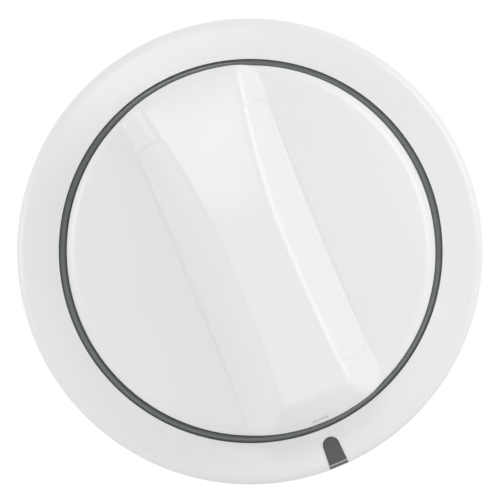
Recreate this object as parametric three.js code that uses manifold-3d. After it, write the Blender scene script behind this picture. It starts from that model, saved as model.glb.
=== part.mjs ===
// Push-pull rotary control switch with a skirted grip knob.
//
// Lengths are in millimetres. Every sub-part is built about the shaft's axis, with z = 0 at the
// front face of the mounting plate, z growing towards the knob and y up. The knob's own parts are
// drawn with the pointer straight down and then turned together. At the end the whole assembly is
// turned so that the knob faces -Y and +Z is up.

import * as THREE from 'three';
import { mergeVertices } from 'three/addons/utils/BufferGeometryUtils.js';
import Module from 'manifold-3d';

const wasm = await Module();
wasm.setup();

// ---------------------------------------------------------------- driving dimensions

const gap = 0.3; // clearance between neighbouring pieces
const wall = 2.0; // moulded wall
const travel = 4.0; // how far the knob pulls out
const detentCount = 16; // click positions in one turn
const roundSegments = 72; // facets round the knob's big circles
const pointerTurn = THREE.MathUtils.degToRad(22.5); // the pointer's place, from straight down

// Knob
const skirtRadius = 35.0;
const skirtBack = 5.2; // rear edge of the skirt's rim, in front of the panel
const skirtEdge = 1.7; // rounding of the skirt's outer edge
const skirtEdgeZ = 7.0; // height of that rounding's centre
const skirtSlope = THREE.MathUtils.degToRad(9); // fall of the skirt's top, outwards
const skirtRim = 33.2; // inside of the skirt's turned-down rim
const webBack = 5.8; // rear face of the skirt's inner web
const webFront = 7.6;
const webHole = 7.0; // radius of the hole round the hub's stem

const ringWall = 28.7; // groove wall that the accent ring sits in
const ringFit = 0.15; // room on each side of the ring, which is pressed in
const ringTop = 9.15;

const capRadius = 27.55;
const capBack = webFront + gap;
const capRound = 1.7; // rounding of the cap's rim
const capEnd = 18.7; // height of the cap's side at the bar's two ends, before rounding
const faceTop = 14.5; // cap face beside the bar
const faceFall = 3.0; // how much lower the face is at the rim than beside the bar
const barTop = 22.5;
const barFoot = 10.5; // half the bar's width where its flanks meet the face
const barSlope = THREE.MathUtils.degToRad(59);
const barFillet = 1.85;
const barNose = 23.7; // radius where the bar's top ends, on the pointer's side
const barTail = 20.8; // radius where it ends on the other side
const tailStart = 2.0; // where the top starts to fall towards the tail
const tailDrop = 2.6;
const scoopHalf = 20.2; // half the length of a finger flank's recess
const scoopEnd = 0.15; // its depth at the ends
const scoopMiddle = 0.65; // and in the middle
const indexHalf = 1.2; // half the length of the slot in the cap's shoulder, over the pointer
const indexInner = 26.9;
const indexOuter = 27.3;
const indexFloor = 17.5;

const pointerInner = 30.2; // radius of the pointer's rounded end
const pointerOuter = 34.65;
const pointerHalf = 1.2; // half its width at the rounded end
const pointerFlare = 1.48; // half its width at the rim
const pointerFit = 0.25; // room round it in the skirt
const pointerProud = 0.12;
const pointerDepth = 1.0;

// Hub, behind the skirt
const hubFlangeRadius = 14.5;
const hubFlangeBack = 4.1;
const stemRadius = 5.2;
const stemBack = 3.2;
const stemFront = 18.5;
const hubClipBack = 12.5;
const hubClipFront = 16.5;
const hubClipThickness = 0.6;
const knobScrewCircle = 11.0;
const knobScrewTop = 11.6;
const knobScrewHead = 2.4;
const knobScrewShank = 1.05;
const bossRadius = 3.0;

// Shaft and bushing
const shaftRadius = 3.175;
const shaftFront = 16.5;
const shaftBack = -36.4;
const grooveRadius = 2.7;
const flatHalf = 2.3; // half the distance across the two flats
const hubFlat = 1.6; // distance of the single front flat from the axis
const bushingRadius = 5.6;
const bushingFront = 2.2;
const bushingBack = -5.2;
const bushingFlange = 9.0; // radius of the flange trapped between plate and housing
const flangeThickness = 2.1;

// Switch body
const bodyHalf = 20.0;
const bodyCorner = 4.0;
const screwPlace = 16.0;
const screwRadius = 1.2;
const plateThickness = 1.2;
const plateHalf = 21.0;
const earReach = 32.0; // how far the plate's two ears reach
const earHalf = 7.0;
const panelScrewPlace = 26.5;
const panelScrewHole = 1.75;
const housingFront = -1.5;
const housingBack = -14.0;
const chamberRadius = 11.0;
const chamberFront = -5.5;
const pocketEnd = bodyHalf - 1.2; // outer end of the detent springs' pockets
const rotorFront = -5.8;
const rotorStep = -9.6;
const rotorBack = -13.4;
const lobeTip = 10.4;
const lobeRoot = 9.6;
const ballRadius = 2.0;
const ballPlace = lobeTip + gap + ballRadius;
const ballZ = (rotorFront + rotorStep) / 2;
const springRadius = 1.4;
const springWire = 0.3;
const waferFront = housingBack - gap;
const waferBack = -16.8;
const stripThickness = 0.8;
const bladeWidth = 6.3;
const bladeReach = 29.0; // radius of the selector blades' ends
const coverFront = waferBack - gap;
const coverFlangeBack = -20.0;
const coverBack = -31.6;
const coverFloor = -29.2;
const coverHalfX = 17.0;
const coverHalfY = 11.2;
const lineX = 12.6; // distance of a line blade's middle from the axis
const lineEnd = -39.8;
const padBack = -18.3;
const tipX = 9.6;
const fixedTipBack = -19.2;
const bridgeFront = fixedTipBack - travel - 0.1; // bridge tips stop 0.1 short of the fixed tips
const tipThickness = 0.6;
const contactFront = bridgeFront - tipThickness - gap;
const contactBack = contactFront - stripThickness;
const carrierFlange = contactBack - gap;
const carrierBack = carrierFlange - 2.2;
const carrierFront = carrierFlange + 3.0;
const clipThickness = 0.6;
const snapZ = coverBack + 0.6; // plane of the hairpin that snaps into the shaft's grooves
const snapWire = 0.4;

// ---------------------------------------------------------------- materials

function material(color, roughness, metalness = 0) {
  return new THREE.MeshStandardMaterial({ color, roughness, metalness });
}

const whitePlastic = material(0xeceeed, 0.28);
const darkPlastic = material(0x595959, 0.45);
const ringPlastic = material(0x62656a, 0.18, 0.3);
const hubPlastic = material(0xb9bbb8, 0.5);
const housingPlastic = material(0x2c2d30, 0.55);
const waferPlastic = material(0x7a4a2c, 0.6);
const rotorPlastic = material(0xd9d4c4, 0.45);
const platedSteel = material(0xb4b7ba, 0.35, 1);
const springSteel = material(0x8f9499, 0.3, 1);
const brass = material(0xc8a24e, 0.35, 1);
const tinnedBrass = material(0xc9c4b4, 0.35, 1);
const silver = material(0xdedede, 0.25, 1);

// ---------------------------------------------------------------- shape helpers

// A closed mesh as a solid that can be cut and joined.
function solid(geometry) {
  const bare = geometry.index ? geometry.toNonIndexed() : geometry.clone();
  bare.deleteAttribute('normal');
  bare.deleteAttribute('uv');
  const merged = mergeVertices(bare, 1e-4);
  const corners = merged.index.array;
  const kept = [];
  for (let i = 0; i < corners.length; i += 3) {
    const [a, b, c] = corners.slice(i, i + 3);
    if (a !== b && b !== c && a !== c) {
      kept.push(a, b, c);
    }
  }
  const vertProperties = new Float32Array(merged.attributes.position.array);
  const triVerts = new Uint32Array(kept);
  return new wasm.Manifold(new wasm.Mesh({ numProp: 3, vertProperties, triVerts }));
}

function geometryOf(shape) {
  const { vertProperties, triVerts } = shape.getMesh();
  const geometry = new THREE.BufferGeometry();
  geometry.setAttribute('position', new THREE.BufferAttribute(vertProperties, 3));
  geometry.setIndex(new THREE.BufferAttribute(triVerts, 1));
  geometry.computeVertexNormals();
  return geometry;
}

function part(name, shape, look) {
  const mesh = new THREE.Mesh(shape.isBufferGeometry ? shape : geometryOf(shape), look);
  mesh.name = name;
  return mesh;
}

// A profile of [radius, z] points, given anticlockwise, turned about the z axis.
function turned(points, segments = 24) {
  const profile = points.map(([radius, z]) => new THREE.Vector2(radius, z));
  const first = profile[0];
  const last = profile[profile.length - 1];
  if (first.x > 0 || last.x > 0) {
    profile.push(first.clone());
  }
  const geometry = new THREE.LatheGeometry(profile, segments);
  geometry.rotateX(Math.PI / 2);
  return solid(geometry);
}

// An outline in the xy plane, raised from z = back to z = front.
function prism(outline, back, front, curveSegments = 6) {
  const options = { depth: front - back, bevelEnabled: false, curveSegments };
  const geometry = new THREE.ExtrudeGeometry(outline, options);
  geometry.translate(0, 0, back);
  return solid(geometry);
}

function rod(radius, back, front, x = 0, y = 0, segments = 16) {
  const geometry = new THREE.CylinderGeometry(radius, radius, front - back, segments);
  geometry.rotateX(Math.PI / 2);
  geometry.translate(x, y, (front + back) / 2);
  return solid(geometry);
}

function block(lowX, lowY, lowZ, highX, highY, highZ) {
  const geometry = new THREE.BoxGeometry(highX - lowX, highY - lowY, highZ - lowZ);
  geometry.translate((lowX + highX) / 2, (lowY + highY) / 2, (lowZ + highZ) / 2);
  return solid(geometry);
}

// A round rod that points straight out from the axis, at a height z.
function radialRod(radius, inner, outer, angle, z) {
  const geometry = new THREE.CylinderGeometry(radius, radius, outer - inner, 16);
  geometry.rotateZ(-Math.PI / 2);
  geometry.translate((inner + outer) / 2, 0, z);
  geometry.rotateZ(angle);
  return solid(geometry);
}

function outlineOf(points) {
  return new THREE.Shape(points.map(([x, y]) => new THREE.Vector2(x, y)));
}

function roundedRectangle(halfX, halfY, corner) {
  const quarter = Math.PI / 2;
  const outline = new THREE.Shape();
  outline.absarc(halfX - corner, halfY - corner, corner, 0, quarter);
  outline.absarc(corner - halfX, halfY - corner, corner, quarter, 2 * quarter);
  outline.absarc(corner - halfX, corner - halfY, corner, 2 * quarter, 3 * quarter);
  outline.absarc(halfX - corner, corner - halfY, corner, 3 * quarter, 4 * quarter);
  return outline;
}

// A circle with two opposite flats, at y = flat and y = -flat.
function twoFlats(radius, flat) {
  const reach = Math.asin(flat / radius);
  const outline = new THREE.Shape();
  outline.absarc(0, 0, radius, -reach, reach);
  outline.absarc(0, 0, radius, Math.PI - reach, Math.PI + reach);
  return outline;
}

// A circle with one flat, at y = flat.
function oneFlat(radius, flat) {
  const reach = Math.asin(flat / radius);
  const outline = new THREE.Shape();
  outline.absarc(0, 0, radius, Math.PI - reach, 2 * Math.PI + reach);
  return outline;
}

// The part of a ring between two angles.
function ringSector(inner, outer, start, end) {
  const outline = new THREE.Shape();
  outline.absarc(0, 0, outer, start, end);
  outline.absarc(0, 0, inner, end, start, true);
  return outline;
}

function corners(place) {
  return [[1, 1], [-1, 1], [-1, -1], [1, -1]].map(([x, y]) => [x * place, y * place]);
}

// ---------------------------------------------------------------- knob: cap

// The cap's round body: a disc with a rounded rim whose face falls away on both sides of the bar.
// With an inset it is the room inside.
function capDisc(inset, back) {
  const radius = capRadius - inset;
  const top = faceTop - inset;
  const profile = [
    [radius, top - capRound],
    [radius - 0.3 * capRound, top - 0.3 * capRound],
    [radius - capRound, top],
    [0.8 * radius, top],
    [0.66 * radius, top],
    [0.52 * radius, top],
    [barFoot, top],
    [0, top],
  ].map(([x, z]) => new THREE.Vector2(x, z));
  profile.unshift(new THREE.Vector2(0, back), new THREE.Vector2(radius, back));
  const geometry = new THREE.LatheGeometry(profile, roundSegments);
  geometry.rotateX(Math.PI / 2);
  const points = geometry.attributes.position;
  for (let i = 0; i < points.count; i += 1) {
    const away = Math.max(Math.abs(points.getX(i)) - barFoot, 0) / (capRadius - barFoot);
    if (points.getZ(i) > top - capRound - 0.1) {
      points.setZ(i, points.getZ(i) - faceFall * away * away);
    }
  }
  return solid(geometry);
}

// The bar as it is seen from its end, run along the cap: straight flanks and a rounded top. The
// flanks go on a little way below the face, so that they cut it cleanly.
function barAcross(inset, back) {
  const flankX = barFoot - inset / Math.sin(barSlope);
  const root = 1.5 * wall;
  const rootX = flankX + root / Math.tan(barSlope);
  const filletRise = barFillet * (1 - Math.cos(barSlope));
  const flankRise = barTop - inset - filletRise - faceTop;
  const centreX = flankX - flankRise / Math.tan(barSlope) - barFillet * Math.sin(barSlope);
  const side = [[rootX, back], [rootX, faceTop - root]];
  for (let i = 0; i <= 4; i += 1) {
    const turn = barSlope * (1 - i / 4);
    const z = barTop - inset - barFillet * (1 - Math.cos(turn));
    side.push([centreX + barFillet * Math.sin(turn), z]);
  }
  const mirrored = side.map(([x, z]) => [-x, z]).reverse();
  const reach = capRadius + wall;
  const options = { depth: 2 * reach, bevelEnabled: false };
  const geometry = new THREE.ExtrudeGeometry(outlineOf([...side, ...mirrored]), options);
  geometry.translate(0, 0, -reach);
  geometry.rotateX(Math.PI / 2);
  return solid(geometry);
}

// The tail's half of the bar as it is seen from the side: its top falls towards the end.
function tailAlong(inset, back) {
  const reach = capRadius + wall;
  const top = [];
  for (let i = 0; i <= 10; i += 1) {
    const y = reach * (1 - i / 10);
    const away = Math.max(y - tailStart, 0) / (barTail - tailStart);
    top.push([y, barTop - inset - tailDrop * away * away]);
  }
  const outline = outlineOf([[0, back], [reach, back], ...top]);
  const geometry = new THREE.ExtrudeGeometry(outline, { depth: 2 * reach, bevelEnabled: false });
  geometry.translate(0, 0, -reach);
  geometry.applyMatrix4(new THREE.Matrix4().makeBasis(
    new THREE.Vector3(0, 1, 0),
    new THREE.Vector3(0, 0, 1),
    new THREE.Vector3(1, 0, 0),
  ));
  return solid(geometry);
}

// The cone that slopes from the end of the bar's top, at endRadius and endZ, down to the rim.
function barEnd(endRadius, endZ, inset, back) {
  const radius = capRadius - inset;
  const foot = capEnd - inset;
  const slope = (endZ - capEnd) / (capRadius - endRadius);
  return turned([
    [0, back],
    [radius, back],
    [radius, foot - capRound],
    [radius - 0.3 * capRound, foot + 0.3 * capRound * (slope - 1)],
    [radius - capRound, foot + capRound * slope],
    [0, foot + radius * slope],
  ], roundSegments);
}

// The cap's outer shape, or with an inset the room inside it.
function capBody(inset, back) {
  const reach = capRadius + wall;
  const joint = 0.05; // the two halves of the bar run into each other by this much
  const bar = barAcross(inset, back);
  const noseHalf = block(-reach, -reach, back, reach, joint, barTop);
  const nose = bar.intersect(noseHalf).intersect(barEnd(barNose, barTop, inset, back));
  const tail = bar.intersect(tailAlong(inset, back))
    .intersect(barEnd(barTail, barTop - tailDrop, inset, back));
  return capDisc(inset, back).add(nose).add(tail);
}

// A shallow lens-shaped cut that hollows one of the bar's flanks for a finger.
function fingerScoop(side) {
  const points = [[scoopHalf, 6], [-scoopHalf, 6]];
  for (let i = 0; i <= 16; i += 1) {
    const along = scoopHalf * (i / 8 - 1);
    const bow = 1 - (along / scoopHalf) ** 2;
    points.push([along, -scoopEnd - (scoopMiddle - scoopEnd) * bow]);
  }
  const outline = outlineOf(points);
  const geometry = new THREE.ExtrudeGeometry(outline, { depth: 14, bevelEnabled: false });
  const upFlank = new THREE.Vector3(-side * Math.cos(barSlope), 0, Math.sin(barSlope));
  const outward = new THREE.Vector3(side * Math.sin(barSlope), 0, Math.cos(barSlope));
  const along = new THREE.Vector3().crossVectors(outward, upFlank);
  const basis = new THREE.Matrix4().makeBasis(along, outward, upFlank);
  basis.setPosition(side * barFoot, 0, faceTop);
  geometry.applyMatrix4(basis);
  return solid(geometry);
}

function knobScrewPlaces() {
  return [0, 1, 2].map((i) => {
    const angle = Math.PI / 6 + (i * 2 * Math.PI) / 3;
    return [knobScrewCircle * Math.cos(angle), knobScrewCircle * Math.sin(angle)];
  });
}

function gripCap() {
  const outside = capBody(0, capBack);
  let cap = outside.subtract(capBody(wall, capBack - 0.5));
  for (const [x, y] of knobScrewPlaces()) {
    const boss = rod(bossRadius, capBack, barTop, x, y).intersect(outside);
    cap = cap.add(boss).subtract(rod(1.35, capBack - 1, knobScrewTop + gap, x, y));
  }
  const index = block(-indexHalf, -indexOuter, indexFloor, indexHalf, -indexInner, barTop);
  return cap.subtract(fingerScoop(1)).subtract(fingerScoop(-1)).subtract(index);
}

// ---------------------------------------------------------------- knob: skirt, ring and pointer

// The skirt's top from its outer edge inwards, as [radius, z] points, raised by an offset.
function skirtTop(offset) {
  const points = [];
  const centre = skirtRadius - skirtEdge;
  const radius = skirtEdge + offset;
  const last = Math.PI / 2 - skirtSlope;
  for (let i = 0; i <= 4; i += 1) {
    const turn = last * (i / 4);
    points.push([centre + radius * Math.cos(turn), skirtEdgeZ + radius * Math.sin(turn)]);
  }
  const [edgeX, edgeZ] = points[4];
  points.push([ringWall, edgeZ + (edgeX - ringWall) * Math.tan(skirtSlope)]);
  return points;
}

function pointerOutline(grow, outer) {
  const radius = pointerHalf + grow;
  const centre = -(pointerInner + pointerHalf);
  const outline = new THREE.Shape();
  outline.moveTo(-(pointerFlare + grow), -outer);
  outline.lineTo(pointerFlare + grow, -outer);
  outline.absarc(0, centre, radius, 0, Math.PI);
  return outline;
}

// The layer of the skirt's top between two offsets.
function skirtLayer(low, high) {
  const lowSide = skirtTop(low).reverse();
  return turned([...skirtTop(high), ...lowSide], 2 * roundSegments);
}

function dialSkirt() {
  let skirt = turned([
    [webHole, webBack],
    [skirtRim - 2.2, webBack],
    [skirtRim - 2.2, skirtEdgeZ],
    [skirtRim, skirtEdgeZ - 0.4],
    [skirtRim, skirtBack],
    [skirtRadius, skirtBack],
    ...skirtTop(0),
    [ringWall, webFront],
    [webHole, webFront],
  ], roundSegments);
  for (const [x, y] of knobScrewPlaces()) {
    skirt = skirt.subtract(rod(1.4, webBack - 1, webFront + 1, x, y));
  }
  const recess = prism(pointerOutline(pointerFit, skirtRadius + 1), skirtBack, barTop)
    .intersect(skirtLayer(-pointerDepth - gap, 3));
  return skirt.subtract(recess);
}

function accentRing() {
  const inner = capRadius + ringFit;
  const outer = ringWall - ringFit;
  const edge = 0.2;
  return turned([
    [inner, webFront + gap],
    [outer, webFront + gap],
    [outer, ringTop - edge],
    [outer - edge, ringTop],
    [inner + edge, ringTop],
    [inner, ringTop - edge],
  ], roundSegments);
}

function pointerInsert() {
  return prism(pointerOutline(0, pointerOuter), skirtBack, barTop)
    .intersect(skirtLayer(-pointerDepth, pointerProud));
}

// ---------------------------------------------------------------- knob: hub and shaft

function knobHub() {
  const body = turned([
    [0, stemBack],
    [stemRadius, stemBack],
    [stemRadius, hubFlangeBack],
    [hubFlangeRadius, hubFlangeBack],
    [hubFlangeRadius, webBack - gap],
    [stemRadius, webBack - gap],
    [stemRadius, stemFront],
    [0, stemFront],
  ], 32);
  const bore = prism(oneFlat(shaftRadius + gap, hubFlat + gap), stemBack - 1, shaftFront + 0.7);
  let hub = body.subtract(bore);
  for (const [x, y] of knobScrewPlaces()) {
    hub = hub.subtract(rod(1.4, hubFlangeBack - 1, webBack, x, y));
  }
  return hub;
}

function hubSpringClip() {
  const half = Math.PI - 0.35;
  const inner = stemRadius + gap;
  const outline = ringSector(inner, inner + hubClipThickness, -half, half);
  return prism(outline, hubClipBack, hubClipFront, 14);
}

// A pan-head screw whose head faces the back, with a cross recess.
function backScrew(x, y, headBack, headFront, tip, headRadius, shankRadius) {
  const dish = 0.3;
  const screw = turned([
    [0, headBack],
    [headRadius - dish, headBack],
    [headRadius, headBack + dish],
    [headRadius, headFront],
    [shankRadius, headFront],
    [shankRadius, tip - 0.6],
    [0.5 * shankRadius, tip],
    [0, tip],
  ], 14);
  const arm = 0.6 * headRadius;
  const depth = 0.6 * (headFront - headBack);
  const slot = block(-arm, -0.3, headBack - 1, arm, 0.3, headBack + depth);
  const crossSlot = block(-0.3, -arm, headBack - 1, 0.3, arm, headBack + depth);
  return screw.subtract(slot).subtract(crossSlot).translate([x, y, 0]);
}

// A groove in the shaft, as profile points from back to front.
function groove(back, front) {
  return [
    [shaftRadius, back], [grooveRadius, back], [grooveRadius, front], [shaftRadius, front],
  ];
}

function snapGroove(z) {
  return [[shaftRadius, z - 0.7], [grooveRadius, z - 0.3], [grooveRadius, z + 0.3],
    [shaftRadius, z + 0.7]];
}

function clipBacks() {
  return [carrierBack - gap - clipThickness, carrierFront + gap];
}

function controlShaft() {
  const [rearClip, frontClip] = clipBacks();
  const blank = turned([
    [0, shaftBack],
    [shaftRadius - 0.6, shaftBack],
    [shaftRadius, shaftBack + 0.6],
    ...snapGroove(snapZ - travel),
    ...snapGroove(snapZ),
    ...groove(rearClip - gap, rearClip + clipThickness + gap),
    ...groove(frontClip - gap, frontClip + clipThickness + gap),
    [shaftRadius, shaftFront - 0.5],
    [shaftRadius - 0.5, shaftFront],
    [0, shaftFront],
  ], 24);
  const flatBack = rotorBack - travel - gap;
  const flatFront = rotorFront + gap;
  const upper = block(-4, flatHalf, flatBack, 4, 4, flatFront);
  const lower = block(-4, -4, flatBack, 4, -flatHalf, flatFront);
  const front = block(-4, hubFlat, stemBack - gap, 4, 4, shaftFront + 1);
  return blank.subtract(upper).subtract(lower).subtract(front);
}

function carrierClip(back) {
  const half = Math.PI - 0.55;
  const outline = ringSector(grooveRadius + gap, 5.0, -half, half);
  return prism(outline, back, back + clipThickness, 10);
}

// ---------------------------------------------------------------- turning half

function lobedOutline() {
  const outline = [];
  const steps = 6 * detentCount;
  for (let i = 0; i < steps; i += 1) {
    const angle = (i / steps) * 2 * Math.PI;
    const swell = 0.5 - 0.5 * Math.cos(detentCount * angle);
    const radius = lobeRoot + (lobeTip - lobeRoot) * swell;
    outline.push([radius * Math.cos(angle), radius * Math.sin(angle)]);
  }
  return outlineOf(outline);
}

function rotor() {
  const wheel = prism(lobedOutline(), rotorStep, rotorFront);
  const drum = rod(8.5, rotorBack, rotorStep + 0.5, 0, 0, 28);
  const bore = prism(twoFlats(shaftRadius + gap, flatHalf + gap), rotorBack - 1, rotorFront + 1);
  return wheel.add(drum).subtract(bore);
}

// A thin spring ring round the shaft with one arm that sweeps over the selector strips.
function rotorWiper() {
  const back = rotorBack - 2 * gap;
  const front = rotorBack - gap;
  const ring = rod(5.6, back, front, 0, 0, 24).subtract(rod(4.2, back - 1, front + 1, 0, 0, 24));
  const arm = prism(ringSector(5.0, 8.2, -Math.PI / 2 - 0.3, -Math.PI / 2 + 0.3), back, front);
  return ring.add(arm);
}

function detentBall(side) {
  const geometry = new THREE.SphereGeometry(ballRadius, 14, 9);
  geometry.translate(side * ballPlace, 0, ballZ);
  return solid(geometry);
}

class Helix extends THREE.Curve {
  constructor(start, length, radius, turns) {
    super();
    Object.assign(this, { start, length, radius, turns });
  }

  getPoint(t, target = new THREE.Vector3()) {
    const angle = t * this.turns * 2 * Math.PI;
    const y = this.radius * Math.cos(angle);
    const z = this.radius * Math.sin(angle);
    return target.set(this.start + t * this.length, y, z);
  }
}

// A round wire along a curve.
function wire(path, radius, steps) {
  const section = new THREE.Shape();
  section.absarc(0, 0, radius, 0, 2 * Math.PI);
  return new THREE.ExtrudeGeometry(section, { steps, curveSegments: 3, extrudePath: path });
}

function detentSpring(side) {
  const start = ballPlace + ballRadius + gap + 0.4;
  const end = pocketEnd - gap - 0.4;
  const geometry = wire(new Helix(start, end - start, springRadius, 5), springWire, 45);
  geometry.rotateZ(side > 0 ? 0 : Math.PI);
  geometry.translate(0, 0, ballZ);
  return solid(geometry);
}

// ---------------------------------------------------------------- contact strips

// A flat strip along +x that ends in a spade blade with a latch hole. The strip is a little thinner
// than the blade, and the step between them lies just outside the housing.
function bladeStrip(inner) {
  const half = bladeWidth / 2;
  const thin = 0.1;
  const root = bodyHalf + 0.5;
  const strip = outlineOf([
    [inner, -1.6],
    [inner + 2.5, -half],
    [root + 1, -half],
    [root + 1, half],
    [inner + 2.5, half],
    [inner, 1.6],
  ]);
  const blade = outlineOf([
    [root, -half],
    [bladeReach - 1.2, -half],
    [bladeReach, -half + 1.4],
    [bladeReach, half - 1.4],
    [bladeReach - 1.2, half],
    [root, half],
  ]);
  const latch = new THREE.Path();
  latch.absarc(bladeReach - 4.0, 0, 0.85, 0, 2 * Math.PI);
  blade.holes.push(latch);
  const back = waferFront - 0.1 - stripThickness;
  const front = back + stripThickness;
  return prism(strip, back + thin, front - thin).add(prism(blade, back, front));
}

function selectorTerminal(index) {
  return bladeStrip(6.4).rotate([0, 0, 90 * index]);
}

function commonTerminal() {
  const back = waferFront - stripThickness;
  const front = waferFront - 0.2;
  const ring = rod(5.8, back, front, 0, 0, 28);
  const hole = rod(4.0, back - 1, front + 1, 0, 0, 28);
  return bladeStrip(5.0).rotate([0, 0, -90]).add(ring).subtract(hole);
}

function contactWafer() {
  const grooveFloor = waferFront - 0.1 - stripThickness - gap;
  let wafer = prism(roundedRectangle(bodyHalf, bodyHalf, bodyCorner), waferBack, waferFront, 3);
  wafer = wafer.subtract(rod(6.1, grooveFloor, waferFront + 1, 0, 0, 28));
  wafer = wafer.subtract(rod(shaftRadius + gap, waferBack - 1, waferFront, 0, 0, 28));
  const half = bladeWidth / 2 + gap;
  for (let i = 0; i < 4; i += 1) {
    const slot = block(5.5, -half, grooveFloor, bodyHalf + 1, half, waferFront + 1);
    wafer = wafer.subtract(slot.rotate([0, 0, 90 * i]));
  }
  for (const [x, y] of corners(screwPlace)) {
    wafer = wafer.subtract(rod(screwRadius + gap, waferBack - 1, waferFront + 1, x, y));
  }
  return wafer;
}

// ---------------------------------------------------------------- pulling half

function bridgeCarrier() {
  const flange = prism(roundedRectangle(11.0, 8.6, 1.0), carrierBack, carrierFlange, 2);
  const barrel = rod(4.9, carrierBack, carrierFront, 0, 0, 28);
  const bore = rod(shaftRadius + gap, carrierBack - 1, carrierFront + 1, 0, 0, 28);
  return flange.add(barrel).subtract(bore);
}

function bridgeContact() {
  const bar = prism(roundedRectangle(11.4, 2.6, 1.0), contactBack, contactFront, 2);
  const ring = rod(7.2, contactBack, contactFront, 0, 0, 28);
  return bar.add(ring).subtract(rod(4.9 + gap, contactBack - 1, contactFront + 1, 0, 0, 28));
}

function bridgeTip(side) {
  return rod(1.7, bridgeFront - tipThickness, bridgeFront, side * tipX, 0);
}

function lineTip(side) {
  return rod(1.9, fixedTipBack, fixedTipBack + tipThickness, side * tipX, 0);
}

// An L-shaped strip: a pad over the bridge tip, a leg along the wall and a spade blade behind.
function lineTerminal(side) {
  const padFront = padBack + stripThickness;
  const bladeFront = coverBack - gap;
  const outer = lineX + stripThickness / 2;
  const inner = lineX - stripThickness / 2;
  const thin = 0.1;
  const outline = outlineOf([
    [tipX - 2.2, padBack],
    [inner + thin, padBack],
    [inner + thin, bladeFront],
    [inner, bladeFront],
    [inner, lineEnd + 0.6],
    [inner + thin, lineEnd],
    [outer - thin, lineEnd],
    [outer, lineEnd + 0.6],
    [outer, bladeFront],
    [outer - thin, bladeFront],
    [outer - thin, padFront],
    [tipX - 2.2, padFront],
  ]);
  const options = { depth: bladeWidth, bevelEnabled: false };
  const geometry = new THREE.ExtrudeGeometry(outline, options);
  geometry.translate(0, 0, -bladeWidth / 2);
  geometry.rotateX(Math.PI / 2);
  const latch = radialRod(0.85, lineX - 2, lineX + 2, 0, lineEnd + 4.0);
  const strip = solid(geometry).subtract(latch);
  return side > 0 ? strip : strip.rotate([0, 0, 180]);
}

class Hairpin extends THREE.Curve {
  constructor(half, length, z) {
    super();
    Object.assign(this, { half, length, z });
  }

  getPoint(t, target = new THREE.Vector3()) {
    const bend = Math.PI * this.half;
    const along = t * (2 * this.length + bend);
    if (along < this.length) {
      return target.set(-this.half, along - this.length + 5, this.z);
    }
    if (along > this.length + bend) {
      return target.set(this.half, this.length + bend - along + 5, this.z);
    }
    const angle = Math.PI * (1 - (along - this.length) / bend);
    return target.set(this.half * Math.cos(angle), this.half * Math.sin(angle) + 5, this.z);
  }
}

function pullDetentClip() {
  const half = shaftRadius + gap + snapWire;
  return solid(wire(new Hairpin(half, 12.5, snapZ), snapWire, 24));
}

// ---------------------------------------------------------------- plate, bushing and housings

function mountingPlate() {
  const body = prism(roundedRectangle(plateHalf, plateHalf, 3), -plateThickness, 0, 3);
  const ears = prism(roundedRectangle(earReach, earHalf, 5), -plateThickness, 0, 4);
  let plate = body.add(ears);
  plate = plate.subtract(rod(bushingRadius + gap, -plateThickness - 1, 1, 0, 0, 28));
  for (const side of [-1, 1]) {
    const x = side * panelScrewPlace;
    plate = plate.subtract(rod(panelScrewHole, -plateThickness - 1, 1, x, 0));
  }
  for (const [x, y] of corners(screwPlace)) {
    plate = plate.subtract(rod(screwRadius + gap, -plateThickness - 1, 1, x, y));
  }
  return plate;
}

function shaftBushing() {
  const flangeFront = -plateThickness - gap;
  return turned([
    [shaftRadius + gap, bushingBack],
    [bushingRadius, bushingBack],
    [bushingRadius, flangeFront - flangeThickness],
    [bushingFlange, flangeFront - flangeThickness],
    [bushingFlange, flangeFront],
    [bushingRadius, flangeFront],
    [bushingRadius, bushingFront - 0.5],
    [bushingRadius - 0.5, bushingFront],
    [shaftRadius + gap, bushingFront],
  ], 28);
}

function frontHousing() {
  const outline = roundedRectangle(bodyHalf, bodyHalf, bodyCorner);
  let housing = prism(outline, housingBack, housingFront, 3);
  housing = housing.subtract(rod(bushingFlange + gap, -3.9, housingFront + 1, 0, 0, 28));
  housing = housing.subtract(rod(bushingRadius + gap, rotorFront, -3, 0, 0, 28));
  housing = housing.subtract(rod(chamberRadius, housingBack - 1, chamberFront, 0, 0, 28));
  for (const angle of [0, Math.PI]) {
    const pocket = radialRod(ballRadius + 0.35, 9, pocketEnd, angle, ballZ);
    housing = housing.subtract(pocket);
  }
  for (const [x, y] of corners(screwPlace)) {
    housing = housing.subtract(rod(screwRadius + gap, housingBack - 1, 0, x, y));
  }
  return housing;
}

function rearCover() {
  const flange = prism(roundedRectangle(bodyHalf, bodyHalf, bodyCorner),
    coverFlangeBack, coverFront, 3);
  const body = prism(roundedRectangle(coverHalfX, coverHalfY, 1.5), coverBack, coverFront, 2);
  const room = block(-15, -9, coverFloor, 15, 9, coverFront + 1);
  let cover = flange.add(body).subtract(room);
  cover = cover.subtract(rod(shaftRadius + gap, coverBack - 1, coverFloor + 1, 0, 0, 28));
  const halfSlot = bladeWidth / 2 + gap;
  for (const side of [-1, 1]) {
    const x = side * lineX;
    cover = cover.subtract(
      block(x - 0.7, -halfSlot, coverBack - 1, x + 0.7, halfSlot, coverFloor + 1),
    );
  }
  cover = cover.subtract(block(-4.9, -8.5, coverBack - 1, 4.9, 10, snapZ + snapWire + 0.2));
  for (const [x, y] of corners(screwPlace)) {
    cover = cover.subtract(rod(screwRadius + gap, coverFlangeBack - 1, coverFront + 1, x, y));
  }
  return cover;
}

// ---------------------------------------------------------------- assembly

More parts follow.
